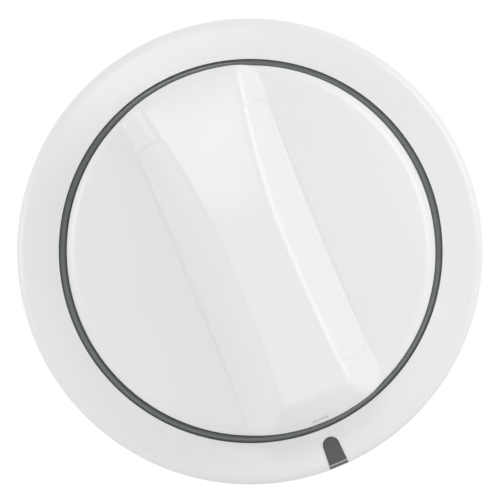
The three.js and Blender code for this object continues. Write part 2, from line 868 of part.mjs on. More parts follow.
function knobGroup() {
  const group = new THREE.Group();
  group.add(part('grip_cap', gripCap(), whitePlastic));
  group.add(part('dial_skirt', dialSkirt(), whitePlastic));
  group.add(part('accent_ring', accentRing(), ringPlastic));
  group.add(part('pointer_insert', pointerInsert(), darkPlastic));
  group.add(part('knob_hub', knobHub(), hubPlastic));
  group.add(part('hub_spring_clip', hubSpringClip(), springSteel));
  knobScrewPlaces().forEach(([x, y], i) => {
    const screw = backScrew(
      x, y, 2.7, hubFlangeBack - gap, knobScrewTop, knobScrewHead, knobScrewShank,
    );
    group.add(part(`knob_screw_${i + 1}`, screw, platedSteel));
  });
  group.add(part('control_shaft', controlShaft(), platedSteel));
  clipBacks().forEach((back, i) => {
    group.add(part(`carrier_clip_${i + 1}`, carrierClip(back), springSteel));
  });
  group.add(part('rotor', rotor(), rotorPlastic));
  group.add(part('rotor_wiper', rotorWiper(), brass));
  group.rotation.z = pointerTurn;
  return group;
}

function switchGroup() {
  const group = new THREE.Group();
  group.add(part('mounting_plate', mountingPlate(), platedSteel));
  group.add(part('shaft_bushing', shaftBushing(), brass));
  group.add(part('front_housing', frontHousing(), housingPlastic));
  group.add(part('contact_wafer', contactWafer(), waferPlastic));
  group.add(part('rear_cover', rearCover(), housingPlastic));
  corners(screwPlace).forEach(([x, y], i) => {
    const headFront = coverFlangeBack - gap;
    const screw = backScrew(x, y, headFront - 1.7, headFront, -0.2, 2.3, screwRadius);
    group.add(part(`housing_screw_${i + 1}`, screw, platedSteel));
  });
  group.add(part('common_terminal', commonTerminal(), tinnedBrass));
  for (let i = 0; i < 3; i += 1) {
    group.add(part(`selector_terminal_${i + 1}`, selectorTerminal(i), tinnedBrass));
  }
  group.add(part('bridge_carrier', bridgeCarrier(), rotorPlastic));
  group.add(part('bridge_contact', bridgeContact(), brass));
  group.add(part('pull_detent_clip', pullDetentClip(), springSteel));
  [1, -1].forEach((side, i) => {
    group.add(part(`detent_ball_${i + 1}`, detentBall(side), platedSteel));
    group.add(part(`detent_spring_${i + 1}`, detentSpring(side), springSteel));
    group.add(part(`line_terminal_${i + 1}`, lineTerminal(side), tinnedBrass));
    group.add(part(`line_tip_${i + 1}`, lineTip(side), silver));
    group.add(part(`bridge_tip_${i + 1}`, bridgeTip(side), silver));
  });
  return group;
}

const assembly = new THREE.Group();
assembly.add(knobGroup(), switchGroup());
assembly.rotation.x = Math.PI / 2;

export default assembly;
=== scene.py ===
"""Push-pull rotary control switch with a skirted grip knob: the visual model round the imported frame.

Lengths in this script are millimetres in the part's own axes: z runs out of the panel along the
shaft, y is up and x is to the right, with z = 0 at the mounting plate's front face. world() turns
them into the scene's metres. The knob's parts are drawn with the pointer straight down and then
turned to the pointer's place.
"""

import math

import bmesh
import bpy
import numpy as np
from mathutils import Matrix, Vector

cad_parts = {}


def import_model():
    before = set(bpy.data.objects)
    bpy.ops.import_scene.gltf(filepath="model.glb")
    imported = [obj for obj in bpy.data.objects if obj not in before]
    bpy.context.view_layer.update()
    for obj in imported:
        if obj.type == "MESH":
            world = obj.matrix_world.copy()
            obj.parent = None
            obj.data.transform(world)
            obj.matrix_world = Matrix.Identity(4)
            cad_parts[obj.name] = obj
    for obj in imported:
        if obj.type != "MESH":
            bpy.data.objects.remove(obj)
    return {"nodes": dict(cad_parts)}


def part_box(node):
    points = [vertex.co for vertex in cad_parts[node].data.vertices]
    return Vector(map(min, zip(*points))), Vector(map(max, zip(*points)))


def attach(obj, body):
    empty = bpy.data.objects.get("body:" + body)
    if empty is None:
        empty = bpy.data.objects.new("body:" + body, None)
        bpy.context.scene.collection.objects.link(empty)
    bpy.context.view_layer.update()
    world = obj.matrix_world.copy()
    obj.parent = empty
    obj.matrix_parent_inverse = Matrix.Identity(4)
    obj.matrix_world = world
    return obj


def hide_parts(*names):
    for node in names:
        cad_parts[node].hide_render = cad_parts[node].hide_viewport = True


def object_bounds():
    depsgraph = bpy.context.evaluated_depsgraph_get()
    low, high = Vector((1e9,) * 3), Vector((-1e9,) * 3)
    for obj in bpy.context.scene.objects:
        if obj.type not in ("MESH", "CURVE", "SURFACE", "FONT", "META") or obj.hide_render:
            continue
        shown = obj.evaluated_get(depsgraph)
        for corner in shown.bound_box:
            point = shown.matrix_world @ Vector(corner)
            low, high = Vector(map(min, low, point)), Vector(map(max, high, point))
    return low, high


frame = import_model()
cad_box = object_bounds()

# ------------------------------------------------------------------ driving dimensions

MM = 0.001
TRAVEL = 4.0
POINTER_TURN = math.radians(22.5)


def span(node):
    """A CAD node's lowest and highest corners, in the part's own axes and millimetres."""
    low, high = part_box(node)
    return Vector((low.x, low.z, -high.y)) / MM, Vector((high.x, high.z, -low.y)) / MM


CAP_LOW = span("grip_cap")[0]
SKIRT_LOW = span("dial_skirt")[0]
RING_LOW = span("accent_ring")[0]
PLATE_LOW, PLATE_HIGH = span("mounting_plate")
FRONT_LOW, FRONT_HIGH = span("front_housing")
WAFER_LOW, WAFER_HIGH = span("contact_wafer")
COVER_LOW, COVER_HIGH = span("rear_cover")
SHAFT_LOW, SHAFT_HIGH = span("control_shaft")
BUSH_LOW, BUSH_HIGH = span("shaft_bushing")
HUB_LOW, HUB_HIGH = span("knob_hub")

# Knob cap
CAP_RADIUS = 27.53
CAP_BACK = CAP_LOW.z
CAP_END = 18.7  # where the bar's end slopes meet the cap's outer wall
CAP_ROUND = 1.7
BAR_TOP = 22.48
FACE_TOP = 14.5
FACE_FALL = 3.0  # how far the face falls away from the bar's foot to the rim
BAR_FOOT = 10.5
BAR_SLOPE = math.radians(59)
BAR_NOSE = 23.7
BAR_TAIL = 20.8
BAR_EDGE = 1.9  # softness of the bar's long edges
END_EDGE = 0.9  # softness of the edge above each end slope
FOOT_FILLET = 0.5
FOOT_FILLET_AT_POCKET = 0.1
TAIL_START = 2.0
TAIL_DROP = 2.6
POCKET_HALF = 20.2
POCKET_CORNER = 1.6
POCKET_STEP = 0.05
POCKET_BLEND = 0.1  # how far the pocket's edge slopes to each side of its outline
SCOOP_END = 0.15
SCOOP_MIDDLE = 0.65
WALL = 2.0
INDEX_LEFT = -1.75
INDEX_RIGHT = 0.65
INDEX_INNER = 26.62
INDEX_OUTER = 26.95
INDEX_DEPTH = 0.25
CUT = 0.04  # how far the two sides of a small step stand apart

# Skirt, ring and pointer
SKIRT_RADIUS = 34.95
SKIRT_EDGE = 1.7
SKIRT_EDGE_Z = 6.98
SKIRT_SLOPE = math.radians(9)
GROOVE_WALL = 28.7
RING_INNER = 27.62
RING_OUTER = 28.66
RING_TOP = 9.15
WEB_FRONT = 7.6
WEB_BACK = 5.8
POINTER_INNER = 30.2
POINTER_OUTER = 34.76
POINTER_HIGHLIGHT_BAND = (34.26, 34.42)  # where a highlight is painted across the pointer's end, standing in for the light its turned edge catches
POINTER_HALF = 1.2
POINTER_FLARE = 1.48

# Hub
STEM_RADIUS = 5.2
HUB_RADIUS = 14.45
HUB_BACK = 4.1
HUB_FRONT = 5.5
HUB_SCREW_PLACE = 11.0

# Switch body
GAP = 0.3
SHAFT_RADIUS = 3.175
SHAFT_HOLE = 3.475
NECK_RADIUS = 2.7  # the shaft's radius in its snap grooves and clip grooves
SNAP_PLACE = -31.0  # where the hairpin spring's wire lies
COLLAR_RADIUS = 5.6
FLANGE_RADIUS = 9.0
BODY_HALF = 20.0
BODY_CORNER = 4
PLATE_HALF = 21
EAR_HALF = 32
EAR_SCREW_PLACE = 26.5
SCREW_PLACE = 16.0
SCREW_HOLE = 1.5
BLADE_HALF = 3.15
LATCH_RADIUS = 0.85
INSIDE_COVER = -28  # a level in the rear cover's room, just in front of its floor


def world(x, y, z):
    """A point in the part's own axes, in the scene's axes and metres."""
    return Vector((x * MM, -z * MM, y * MM))


TO_WORLD = Matrix(((MM, 0, 0, 0), (0, 0, -MM, 0), (0, MM, 0, 0), (0, 0, 0, 1)))
KNOB_TO_WORLD = TO_WORLD @ Matrix.Rotation(POINTER_TURN, 4, "Z")


# ------------------------------------------------------------------ material helpers

def new_material(name):
    material = bpy.data.materials.new(name)
    material.use_nodes = True
    nodes = material.node_tree.nodes
    return material, nodes, material.node_tree.links, nodes["Principled BSDF"]


def noise_node(nodes, links, scale, detail=3.0, stretch=(1, 1, 1), roughness=0.5):
    """A noise texture on the object's own coordinates, with scale in waves per metre."""
    place = nodes.new("ShaderNodeTexCoord")
    mapping = nodes.new("ShaderNodeMapping")
    mapping.inputs["Scale"].default_value = stretch
    noise = nodes.new("ShaderNodeTexNoise")
    noise.inputs["Scale"].default_value = scale
    noise.inputs["Detail"].default_value = detail
    noise.inputs["Roughness"].default_value = roughness
    links.new(place.outputs["Object"], mapping.inputs["Vector"])
    links.new(mapping.outputs["Vector"], noise.inputs["Vector"])
    return noise


def ramp_node(nodes, links, source, low, high, start=0.35, end=0.65):
    """Two colours, or two grey values, along a source from 0 to 1."""
    ramp = nodes.new("ShaderNodeValToRGB")
    ramp.color_ramp.elements[0].position = start
    ramp.color_ramp.elements[1].position = end
    ramp.color_ramp.elements[0].color = (*low, 1)
    ramp.color_ramp.elements[1].color = (*high, 1)
    links.new(source, ramp.inputs["Fac"])
    return ramp


def grey(value):
    return (value, value, value)


def worn_edges(nodes, links, colour, edge_colour, start, end):
    """Mixes an edge colour in along convex edges."""
    geometry = nodes.new("ShaderNodeNewGeometry")
    edge = ramp_node(nodes, links, geometry.outputs["Pointiness"], grey(0), grey(1), start, end)
    mix = nodes.new("ShaderNodeMix")
    mix.data_type = "RGBA"
    links.new(edge.outputs["Color"], mix.inputs["Factor"])
    links.new(colour, mix.inputs["A"])
    mix.inputs["B"].default_value = (*edge_colour, 1)
    return mix.outputs["Result"]


def add_bump(nodes, links, shader, height, strength, distance):
    bump = nodes.new("ShaderNodeBump")
    bump.inputs["Strength"].default_value = strength
    bump.inputs["Distance"].default_value = distance
    links.new(height, bump.inputs["Height"])
    links.new(bump.outputs["Normal"], shader.inputs["Normal"])


def plastic(name, colour, rough, spread=0.03, grain=2500, grain_strength=0.05, edge=None):
    """Moulded plastic: faint flow mottling, a fine surface grain and slightly rubbed edges."""
    material, nodes, links, shader = new_material(name)
    mottle = noise_node(nodes, links, 45, 11, roughness=0.8)
    low = tuple(c * (1 - spread) for c in colour)
    high = tuple(min(1, c * (1 + spread)) for c in colour)
    tint = ramp_node(nodes, links, mottle.outputs["Fac"], low, high, 0.2, 0.8)
    edge_colour = edge or tuple(min(1, c * 1.04 + 0.01) for c in colour)
    result = worn_edges(nodes, links, tint.outputs["Color"], edge_colour, 0.56, 0.68)
    links.new(result, shader.inputs["Base Color"])
    smudge = noise_node(nodes, links, 120, 5)
    roughness = ramp_node(nodes, links, smudge.outputs["Fac"], grey(rough * 0.85),
                          grey(rough * 1.17), 0.05, 0.95)
    links.new(roughness.outputs["Color"], shader.inputs["Roughness"])
    fine = noise_node(nodes, links, grain, 2)
    add_bump(nodes, links, shader, fine.outputs["Fac"], grain_strength, 0.00004)
    shader.inputs["IOR"].default_value = 1.49
    return material


def metal(name, colour, rough, spread=0.08, stretch=(1, 1, 1), grain=900, edge=None):
    """Bare or plated metal: brushed or tumbled grain, patchy tone and brighter edges."""
    material, nodes, links, shader = new_material(name)
    patches = noise_node(nodes, links, 90, 5)
    low = tuple(c * (1 - spread) for c in colour)
    high = tuple(min(1, c * (1 + spread)) for c in colour)
    tint = ramp_node(nodes, links, patches.outputs["Fac"], low, high)
    edge_colour = edge or tuple(min(1, c * 1.15) for c in colour)
    result = worn_edges(nodes, links, tint.outputs["Color"], edge_colour, 0.52, 0.6)
    links.new(result, shader.inputs["Base Color"])
    brushed = noise_node(nodes, links, grain, 4, stretch)
    roughness = ramp_node(nodes, links, brushed.outputs["Fac"], grey(rough * 0.75), grey(rough * 1.3))
    links.new(roughness.outputs["Color"], shader.inputs["Roughness"])
    add_bump(nodes, links, shader, brushed.outputs["Fac"], 0.12, 0.00003)
    shader.inputs["Metallic"].default_value = 1.0
    return material


def white_moulding():
    return plastic("white_moulding", (0.8, 0.802, 0.802), 0.3, 0.006, 3000, 0.02,
                   (0.806, 0.808, 0.808))


def ring_gloss():
    material = plastic("ring_gloss", (0.128, 0.142, 0.139), 0.16, 0.05, 2500, 0.03)
    shader = material.node_tree.nodes["Principled BSDF"]
    shader.inputs["Coat Weight"].default_value = 0.4
    shader.inputs["Coat Roughness"].default_value = 0.08
    return material


def pointer_grey():
    """Dark plastic, with a highlight painted as a bright band along the edge where it turns over the
    skirt's rim.
    """
    material = plastic("pointer_grey", (0.085, 0.085, 0.087), 0.5, 0.06, 2200, 0.12)
    nodes, links = material.node_tree.nodes, material.node_tree.links
    shader = nodes["Principled BSDF"]
    # painted highlight: a lighter grey mixed in over a narrow band of radius at the pointer's end
    place = nodes.new("ShaderNodeTexCoord")
    flat = nodes.new("ShaderNodeVectorMath")
    flat.operation = "MULTIPLY"
    flat.inputs[1].default_value = (1 / MM, 0, 1 / MM)
    radius = nodes.new("ShaderNodeVectorMath")
    radius.operation = "LENGTH"
    share = nodes.new("ShaderNodeMapRange")
    share.inputs["From Min"].default_value = POINTER_HIGHLIGHT_BAND[0] - 0.1
    share.inputs["From Max"].default_value = POINTER_HIGHLIGHT_BAND[1] + 0.1
    highlight_band = nodes.new("ShaderNodeValToRGB")
    stops = highlight_band.color_ramp
    for position, level in ((0.25, 1), (0.7, 1), (0.95, 0)):
        stops.elements.new(position).color = (level, level, level, 1)
    stops.elements[0].color = (0, 0, 0, 1)
    stops.elements[-1].color = (0, 0, 0, 1)
    mix = nodes.new("ShaderNodeMix")
    mix.data_type = "RGBA"
    # the painted highlight's colour
    mix.inputs["B"].default_value = (0.36, 0.36, 0.36, 1)
    plain = shader.inputs["Base Color"].links[0].from_socket
    links.new(place.outputs["Object"], flat.inputs[0])
    links.new(flat.outputs["Vector"], radius.inputs[0])
    links.new(radius.outputs["Value"], share.inputs["Value"])
    links.new(share.outputs["Result"], highlight_band.inputs["Fac"])
    links.new(highlight_band.outputs["Color"], mix.inputs["Factor"])
    links.new(plain, mix.inputs["A"])
    links.new(mix.outputs["Result"], shader.inputs["Base Color"])
    return material


def wafer_board():
    """Resin-bonded board: brown with fine paper fibres along it."""
    material, nodes, links, shader = new_material("wafer_board")
    fibre = noise_node(nodes, links, 260, 6, (1, 8, 1))
    tint = ramp_node(nodes, links, fibre.outputs["Fac"], (0.13, 0.055, 0.022), (0.25, 0.115, 0.05))
    links.new(tint.outputs["Color"], shader.inputs["Base Color"])
    roughness = ramp_node(nodes, links, fibre.outputs["Fac"], grey(0.42), grey(0.6))
    links.new(roughness.outputs["Color"], shader.inputs["Roughness"])
    add_bump(nodes, links, shader, fibre.outputs["Fac"], 0.1, 0.00005)
    return material


def make_materials():
    return {
        "white": white_moulding(),
        "ring": ring_gloss(),
        "pointer": pointer_grey(),
        "hub": plastic("hub_moulding", (0.5, 0.51, 0.5), 0.5, 0.04, 1600, 0.15),
        "housing": plastic("housing_moulding", (0.024, 0.025, 0.028), 0.5, 0.12, 1400, 0.3,
                           (0.075, 0.078, 0.083)),
        "wafer": wafer_board(),
        "rotor": plastic("rotor_moulding", (0.66, 0.62, 0.52), 0.45, 0.04, 1500, 0.12),
        "steel": metal("plated_steel", (0.62, 0.635, 0.65), 0.32),
        "spring": metal("spring_steel", (0.42, 0.44, 0.46), 0.25),
        "brass": metal("contact_brass", (0.72, 0.5, 0.2), 0.3, 0.1),
        "tinned": metal("tinned_brass", (0.68, 0.65, 0.57), 0.34, 0.1, (1, 6, 1)),
        "silver": metal("contact_silver", (0.8, 0.79, 0.76), 0.22),
    }


MATERIALS = make_materials()


# ------------------------------------------------------------------ mesh helpers

def mesh_from(points, faces, name="mesh"):
    mesh = bpy.data.meshes.new(name)
    mesh.from_pydata([tuple(p) for p in points], [], faces)
    return mesh


def tidy(mesh, merge=1e-4):
    """Merges doubled vertices and points every face outwards."""
    bm = bmesh.new()
    bm.from_mesh(mesh)
    bmesh.ops.remove_doubles(bm, verts=bm.verts, dist=merge)
    bmesh.ops.dissolve_degenerate(bm, edges=bm.edges, dist=merge)
    bmesh.ops.recalc_face_normals(bm, faces=bm.faces)
    bm.to_mesh(mesh)
    bm.free()
    return mesh


def smooth(mesh, angle=30):
    mesh.shade_smooth()
    mesh.set_sharp_from_angle(angle=math.radians(angle))
    return mesh


def revolve(profile, segments=128):
    """A closed profile of (radius, z) points turned about the shaft's axis."""
    points = []
    faces = []
    count = len(profile)
    for i in range(segments):
        turn = 2 * math.pi * i / segments
        for radius, z in profile:
            points.append((radius * math.cos(turn), radius * math.sin(turn), z))
    for i in range(segments):
        j = (i + 1) % segments
        for k in range(count):
            m = (k + 1) % count
            if profile[k][0] < 1e-6 and profile[m][0] < 1e-6:
                continue
            faces.append((i * count + k, j * count + k, j * count + m, i * count + m))
    return tidy(mesh_from(points, faces))


def rounded(profile, radius, steps=4):
    """A closed profile with each corner rounded. A corner's third value is its own radius."""
    result = []
    count = len(profile)
    for i, corner in enumerate(profile):
        here = Vector(corner[:2])
        own = corner[2] if len(corner) > 2 else radius
        before = Vector(profile[i - 1][:2])
        after = Vector(profile[(i + 1) % count][:2])
        back, ahead = before - here, after - here
        own = min(own, 0.45 * back.length, 0.45 * ahead.length)
        if own < 1e-3 or here.x < 1e-6:
            result.append(tuple(here))
            continue
        start = here + back.normalized() * own
        end = here + ahead.normalized() * own
        for k in range(steps + 1):
            t = k / steps
            point = (1 - t) ** 2 * start + 2 * t * (1 - t) * here + t * t * end
            result.append(tuple(point))
    return result


def arc(centre_x, centre_y, radius, start, end, steps=8):
    """Points along an arc, with its angles in degrees."""
    turns = [math.radians(start + (end - start) * i / steps) for i in range(steps + 1)]
    return [(centre_x + radius * math.cos(t), centre_y + radius * math.sin(t)) for t in turns]


def rounded_box(half_x, half_y, corner, steps=8):
    """The outline of a rectangle with round corners."""
    x, y = half_x - corner, half_y - corner
    return (arc(x, y, corner, 0, 90, steps) + arc(-x, y, corner, 90, 180, steps)
            + arc(-x, -y, corner, 180, 270, steps) + arc(x, -y, corner, 270, 360, steps))


def slab(outline, back, front, bevel=0.15, segments=3):
    """An outline raised from back to front, with its long edges rounded."""
    bm = bmesh.new()
    corners = [bm.verts.new((x, y, back)) for x, y in outline]
    bmesh.ops.remove_doubles(bm, verts=corners, dist=1e-4)
    bm.verts.ensure_lookup_table()
    base = bm.faces.new(list(bm.verts))
    raised = bmesh.ops.extrude_face_region(bm, geom=[base])
    top = [v for v in raised["geom"] if isinstance(v, bmesh.types.BMVert)]
    bmesh.ops.translate(bm, verts=top, vec=(0, 0, front - back))
    bmesh.ops.recalc_face_normals(bm, faces=bm.faces)
    if bevel:
        rims = [e for e in bm.edges if abs(e.verts[0].co.z - e.verts[1].co.z) < 1e-6]
        sharp = [e for e in bm.edges if e not in rims and e.calc_face_angle(0) > math.radians(40)]
        bmesh.ops.bevel(bm, geom=rims + sharp, offset=bevel, segments=segments, profile=0.5,
                        affect="EDGES", clamp_overlap=True)
    mesh = bpy.data.meshes.new("slab")
    bm.to_mesh(mesh)
    bm.free()
    return tidy(mesh, 1e-5)


def cylinder(radius, back, front, x=0.0, y=0.0, bevel=0.0, steps=48):
    outline = arc(x, y, radius, 0, 360, steps)[:-1]
    return slab(outline, back, front, bevel, 2)


def box(low, high, bevel=0.0):
    outline = [(low[0], low[1]), (high[0], low[1]), (high[0], high[1]), (low[0], high[1])]
    return slab(outline, low[2], high[2], bevel)


def moved(mesh, matrix):
    mesh.transform(matrix)
    return mesh


def turned_about_z(mesh, degrees):
    return moved(mesh, Matrix.Rotation(math.radians(degrees), 4, "Z"))


def boolean(mesh, others, operation):
    """The mesh joined with, or cut by, other closed meshes."""
    scratch = [bpy.data.objects.new("scratch", m) for m in [mesh, *others]]
    for obj in scratch:
        bpy.context.scene.collection.objects.link(obj)
    for other in scratch[1:]:
        modifier = scratch[0].modifiers.new("boolean", "BOOLEAN")
        modifier.operation = operation
        modifier.solver = "EXACT"
        modifier.object = other
    graph = bpy.context.evaluated_depsgraph_get()
    result = bpy.data.meshes.new_from_object(scratch[0].evaluated_get(graph))
    for obj in scratch:
        bpy.data.objects.remove(obj)
    return result


def cut(mesh, *others):
    return boolean(mesh, others, "DIFFERENCE")


def join(mesh, *others):
    return boolean(mesh, others, "UNION")


def common(mesh, *others):
    return boolean(mesh, others, "INTERSECT")


def soften(mesh, width, segments=2, angle=35):
    """Rounds every edge sharper than an angle, as a moulded or tumbled edge is."""
    bm = bmesh.new()
    bm.from_mesh(mesh)
    sharp = [e for e in bm.edges if len(e.link_faces) == 2
             and e.calc_face_angle(0) > math.radians(angle)]
    bmesh.ops.bevel(bm, geom=sharp, offset=width, segments=segments, profile=0.5,
                    affect="EDGES", clamp_overlap=True)
    bm.to_mesh(mesh)
    bm.free()
    return mesh


def swept(path, radius, sides=12, closed=False):
    """A round wire along a list of points, with flat ends."""
    path = [Vector(p) for p in path]
    rings = []
    previous = None
    for i, point in enumerate(path):
        ahead = path[min(i + 1, len(path) - 1)] - path[max(i - 1, 0)]
        ahead.normalize()
        across = previous or ahead.orthogonal()
        across = (across - ahead * across.dot(ahead)).normalized()
        previous = across
        up = ahead.cross(across)
        for k in range(sides):
            turn = 2 * math.pi * k / sides
            rings.append(point + radius * (across * math.cos(turn) + up * math.sin(turn)))
    faces = []
    for i in range(len(path) - 1):
        for k in range(sides):
            m = (k + 1) % sides
            faces.append((i * sides + k, i * sides + m, (i + 1) * sides + m, (i + 1) * sides + k))
    faces.append(tuple(reversed(range(sides))))
    faces.append(tuple(range((len(path) - 1) * sides, len(path) * sides)))
    return tidy(mesh_from(rings, faces), 1e-5)


def add_piece(name, mesh, body, look, stands_for, matrix=TO_WORLD, angle=30):
    """Turns a mesh in the part's own axes into a finished piece that rides on a body."""
    mesh.transform(matrix)
    mesh.name = name
    smooth(mesh, angle)
    mesh.materials.clear()
    mesh.materials.append(MATERIALS[look])
    piece = bpy.data.objects.new(name, mesh)
    bpy.context.scene.collection.objects.link(piece)
    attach(piece, body)
    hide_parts(*stands_for)
    return piece


# ------------------------------------------------------------------ knob: cap

def soft_min(a, b, width):
    """The lower of two heights, rounded over where they come within a width of each other."""
    h = np.maximum(width - np.abs(a - b), 0) / width
    return np.minimum(a, b) - h * h * width / 4


def soft_max(a, b, width):
    return -soft_min(-a, -b, width)


def soft_step(value, low, high):
    """0 below low and 1 above high, with a smooth rise between them."""
    t = np.clip((value - low) / (high - low), 0, 1)
    return t * t * (3 - 2 * t)


def inside(value, low, high):
    """1 between two places and 0 beyond them, with a narrow slope at each."""
    return soft_step(value, low - CUT, low) * (1 - soft_step(value, high, high + CUT))


def cap_height(x, y):
    """The cap's front surface over a point of the knob, with x across the bar."""
    away = np.maximum(np.abs(x) - BAR_FOOT, 0) / (CAP_RADIUS - BAR_FOOT)
    face = FACE_TOP - FACE_FALL * away ** 2
    fall = np.maximum(y - TAIL_START, 0) / (BAR_TAIL - TAIL_START)
    top = BAR_TOP - TAIL_DROP * fall ** 2
    steep = math.tan(BAR_SLOPE)
    flank = FACE_TOP + (BAR_FOOT - np.abs(x)) * steep
    bow = np.clip(1 - (y / POCKET_HALF) ** 2, 0, 1)
    depth = (SCOOP_END + (SCOOP_MIDDLE - SCOOP_END) * bow) / math.sin(BAR_SLOPE)
    scooped = flank - depth * steep
    nose_slope = (BAR_TOP - CAP_END) / (CAP_RADIUS - BAR_NOSE)
    tail_slope = (BAR_TOP - TAIL_DROP - CAP_END) / (CAP_RADIUS - BAR_TAIL)
    nose_end = CAP_END + (CAP_RADIUS - np.hypot(x, np.minimum(y, 0))) * nose_slope
    tail_end = CAP_END + (CAP_RADIUS - np.hypot(x, np.maximum(y, 0))) * tail_slope
    top = soft_min(soft_min(top, nose_end, END_EDGE), tail_end, END_EDGE)
    past_pocket = soft_step(np.abs(y), POCKET_HALF, POCKET_HALF + 3)
    fillet = FOOT_FILLET_AT_POCKET + (FOOT_FILLET - FOOT_FILLET_AT_POCKET) * past_pocket
    outside = soft_max(face, soft_min(top, flank, BAR_EDGE), fillet)
    hollowed = soft_max(face - POCKET_STEP, soft_min(top, scooped, BAR_EDGE), FOOT_FILLET)
    over_x = np.maximum(np.abs(x) - (BAR_FOOT - POCKET_CORNER), 0)
    over_y = np.maximum(np.abs(y) - (POCKET_HALF - POCKET_CORNER), 0)
    beyond = np.hypot(over_x, over_y) - POCKET_CORNER
    pocket = 1 - soft_step(beyond, -POCKET_BLEND, POCKET_BLEND)
    height = outside + (hollowed - outside) * pocket
    mark = inside(x, INDEX_LEFT, INDEX_RIGHT) * inside(y, -INDEX_OUTER, -INDEX_INNER)
    rim = np.clip(np.hypot(x, y) - (CAP_RADIUS - CAP_ROUND), 0, CAP_ROUND)
    rounding = CAP_ROUND - np.sqrt(CAP_ROUND ** 2 - rim ** 2)
    return height - rounding - INDEX_DEPTH * mark


def cap_surface_grid(rings, segments, radius):
    """A flat disc of fine quads round its middle."""
    points = [(0.0, 0.0, 0.0)]
    for ring in rings:
        for k in range(segments):
            turn = 2 * math.pi * k / segments
            points.append((ring * radius * math.cos(turn), ring * radius * math.sin(turn), 0.0))
    faces = [(0, 1 + k, 1 + (k + 1) % segments) for k in range(segments)]
    for i in range(len(rings) - 1):
        low, high = 1 + i * segments, 1 + (i + 1) * segments
        for k in range(segments):
            m = (k + 1) % segments
            faces.append((low + k, high + k, high + m, low + m))
    bm = bmesh.new()
    bm.from_mesh(mesh_from(points, faces))
    return bm


def cut_grid(bm, axis, places, low, high):
    """Cuts a grid along lines at places on one axis, between two limits on the other axis."""
    normal = Vector((1 - axis, axis, 0))
    for place in places:
        geometry = set()
        for face in bm.faces:
            middle = face.calc_center_median()
            if abs(middle[axis] - place) < 1 and low < middle[1 - axis] < high:
                geometry.update([face, *face.verts, *face.edges])
        bmesh.ops.bisect_plane(bm, geom=list(geometry), dist=0.005, plane_co=normal * place,
                               plane_no=normal)


def grip_cap():
    inner = CAP_RADIUS - WALL
    fillet = [1 - CAP_ROUND / CAP_RADIUS * (1 - math.sin(math.radians(t))) for t in range(0, 91, 5)]
    rings = [*np.linspace(0.02, fillet[0], 96)[:-1], *fillet]
    bm = cap_surface_grid(rings, 360, CAP_RADIUS)
    # extra lines where the surface has a small step: round the pocket and round the index mark
    offsets = (-2 * POCKET_BLEND, -POCKET_BLEND, 0.0, POCKET_BLEND, 2 * POCKET_BLEND)
    pocket_x = [s * (BAR_FOOT + o) for s in (-1, 1) for o in offsets]
    pocket_y = [s * (POCKET_HALF + o) for s in (-1, 1) for o in offsets]
    cut_grid(bm, 0, pocket_x, -POCKET_HALF - 0.5, POCKET_HALF + 0.5)
    cut_grid(bm, 1, pocket_y, -BAR_FOOT - 0.5, BAR_FOOT + 0.5)
    index_x = (INDEX_LEFT - CUT, INDEX_LEFT, INDEX_RIGHT, INDEX_RIGHT + CUT)
    index_y = (-INDEX_OUTER - CUT, -INDEX_OUTER, -INDEX_INNER, -INDEX_INNER + CUT)
    cut_grid(bm, 0, index_x, -INDEX_OUTER - 0.5, -INDEX_INNER + 0.5)
    cut_grid(bm, 1, index_y, INDEX_LEFT - 0.5, INDEX_RIGHT + 0.5)
    flat = np.array([v.co[:2] for v in bm.verts])
    heights = cap_height(flat[:, 0], flat[:, 1])
    for vertex, height in zip(bm.verts, heights):
        vertex.co.z = height
    many_sided = [f for f in bm.faces if len(f.verts) > 4]
    bmesh.ops.triangulate(bm, faces=many_sided)
    rim = [e for e in bm.edges if len(e.link_faces) == 1]
    # the outer wall, the lip at the back and the inner wall are the rim's edge, drawn out in turn
    for radius, z in ((CAP_RADIUS, 9.0), (CAP_RADIUS, CAP_BACK + 0.3),
                      (CAP_RADIUS - 0.1, CAP_BACK + 0.1), (CAP_RADIUS - 0.3, CAP_BACK),
                      (inner + 0.3, CAP_BACK), (inner + 0.1, CAP_BACK + 0.1),
                      (inner, CAP_BACK + 0.3)):
        rim = draw_out(bm, rim, radius, lambda x, y: z)
    # the room inside follows the front surface, a wall's thickness behind it
    rim = draw_out(bm, rim, inner, lambda x, y: cap_height(x, y) - 1.3 * WALL - 1.0)
    for share in np.linspace(0.985, 0.02, 48):
        rim = draw_out(bm, rim, inner * share, lambda x, y: cap_height(x, y) - 1.3 * WALL)
    bmesh.ops.edgeloop_fill(bm, edges=rim)
    bmesh.ops.recalc_face_normals(bm, faces=bm.faces)
    mesh = bpy.data.meshes.new("cap")
    bm.to_mesh(mesh)
    bm.free()
    return mesh


def draw_out(bm, rim, radius, height):
    """Extrudes a closed rim of edges to another radius, at a height for each place."""
    drawn = bmesh.ops.extrude_edge_only(bm, edges=rim)["geom"]
    edges = [e for e in drawn if isinstance(e, bmesh.types.BMEdge)]
    vertices = list(dict.fromkeys(v for e in edges for v in e.verts))
    places = np.array([v.co[:2] for v in vertices])
    places *= radius / np.hypot(places[:, 0], places[:, 1])[:, None]
    heights = np.broadcast_to(height(places[:, 0], places[:, 1]), len(vertices))
    for vertex, place, z in zip(vertices, places, heights):
        vertex.co = (place[0], place[1], z)
    return edges


# ------------------------------------------------------------------ knob: skirt, ring and pointer

def skirt_top(offset, steps=12):
    """The skirt's top from its outer edge inwards, raised by an offset."""
    centre = SKIRT_RADIUS - SKIRT_EDGE
    radius = SKIRT_EDGE + offset
    points = arc(centre, SKIRT_EDGE_Z, radius, 0, 90 - math.degrees(SKIRT_SLOPE), steps)
    edge_x, edge_z = points[-1]
    count = 6
    for i in range(1, count + 1):
        x = edge_x + (GROOVE_WALL - edge_x) * i / count
        points.append((x, edge_z + (edge_x - x) * math.tan(SKIRT_SLOPE)))
    return points


